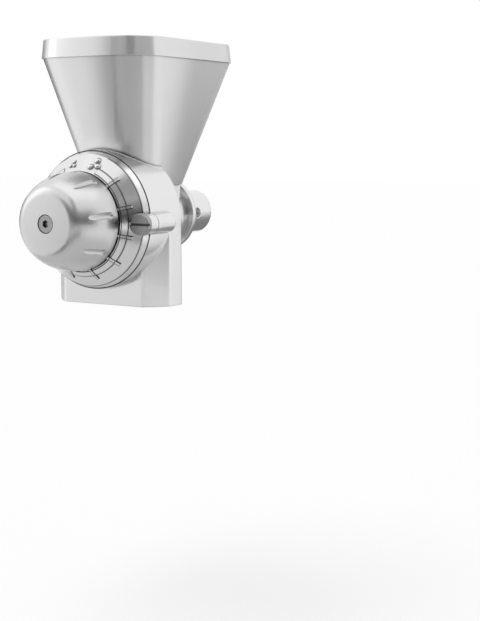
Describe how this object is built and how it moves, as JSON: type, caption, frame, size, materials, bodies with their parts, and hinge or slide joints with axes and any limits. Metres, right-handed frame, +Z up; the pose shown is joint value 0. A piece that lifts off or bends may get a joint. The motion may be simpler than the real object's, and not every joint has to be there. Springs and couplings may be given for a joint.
{
  "type": "grain mill attachment",
  "caption": "Hub-driven grain mill: brushed funnel hopper, cast housing with an open flour chute, and a domed knob on a dialled front plate that sets the burr gap",
  "frame": {"origin": "on the shaft's axis, in the plane of the hub spigot's shoulder", "axes": "+Z up, +Y along the shaft towards the driving hub, -Y towards the adjusting knob, +X to the right seen from the knob"},
  "size_m": [0.1156, 0.2111, 0.1938],
  "materials": {
    "cast_aluminium": "satin-polished casting",
    "brushed_sheet": "brushed along the sheet",
    "satin_aluminium": "satin-turned",
    "rivet_aluminium": "plain",
    "turned_steel": "turned, zinc-free",
    "bearing_steel": "ground",
    "bearing_bronze": "machined bronze",
    "rubber_ring": "moulded",
    "burr_iron": "hardened, ground faces",
    "worm_steel": "as cast and tumbled",
    "spring_steel": "oiled"
  },
  "bodies": {
    "frame": {"mill_body": "cast_aluminium", "hopper": "brushed_sheet", "hopper_rivets": "rivet_aluminium", "front_plate": "cast_aluminium", "front_screws": "turned_steel", "plate_bush": "bearing_bronze", "friction_ring": "rubber_ring", "stationary_burr": "burr_iron", "stationary_burr_screws": "turned_steel", "dust_seal": "rubber_ring", "spigot_bush": "bearing_bronze", "hub_locating_pin": "turned_steel"},
    "thrust": {"thrust_ball": "bearing_steel"},
    "knob": {"knob": "satin_aluminium", "knob_screw": "turned_steel", "adjusting_screw": "turned_steel"},
    "drive": {"drive_shaft": "turned_steel", "feed_worm": "worm_steel", "worm_key": "turned_steel", "rotating_burr": "burr_iron", "burr_drive_pin": "turned_steel", "shaft_retaining_ring": "spring_steel"}
  },
  "joints": [
    {"name": "gap_slide", "type": "slide", "parent": "frame", "child": "thrust", "axis": [0, -1, 0], "range_m": [0, 0.00161]},
    {"name": "knob_turn", "type": "hinge", "parent": "thrust", "child": "knob", "pos_m": [0, -0.13, 0], "axis": [0, -1, 0], "range_deg": [0, 330]},
    {"name": "drive_spin", "type": "hinge", "parent": "thrust", "child": "drive", "pos_m": [0, 0, 0], "axis": [0, 1, 0], "continuous": true}
  ],
  "couplings": [
    {"joint": "gap_slide", "follows": "knob_turn", "m_per_rad": 0.00027852}
  ]
}
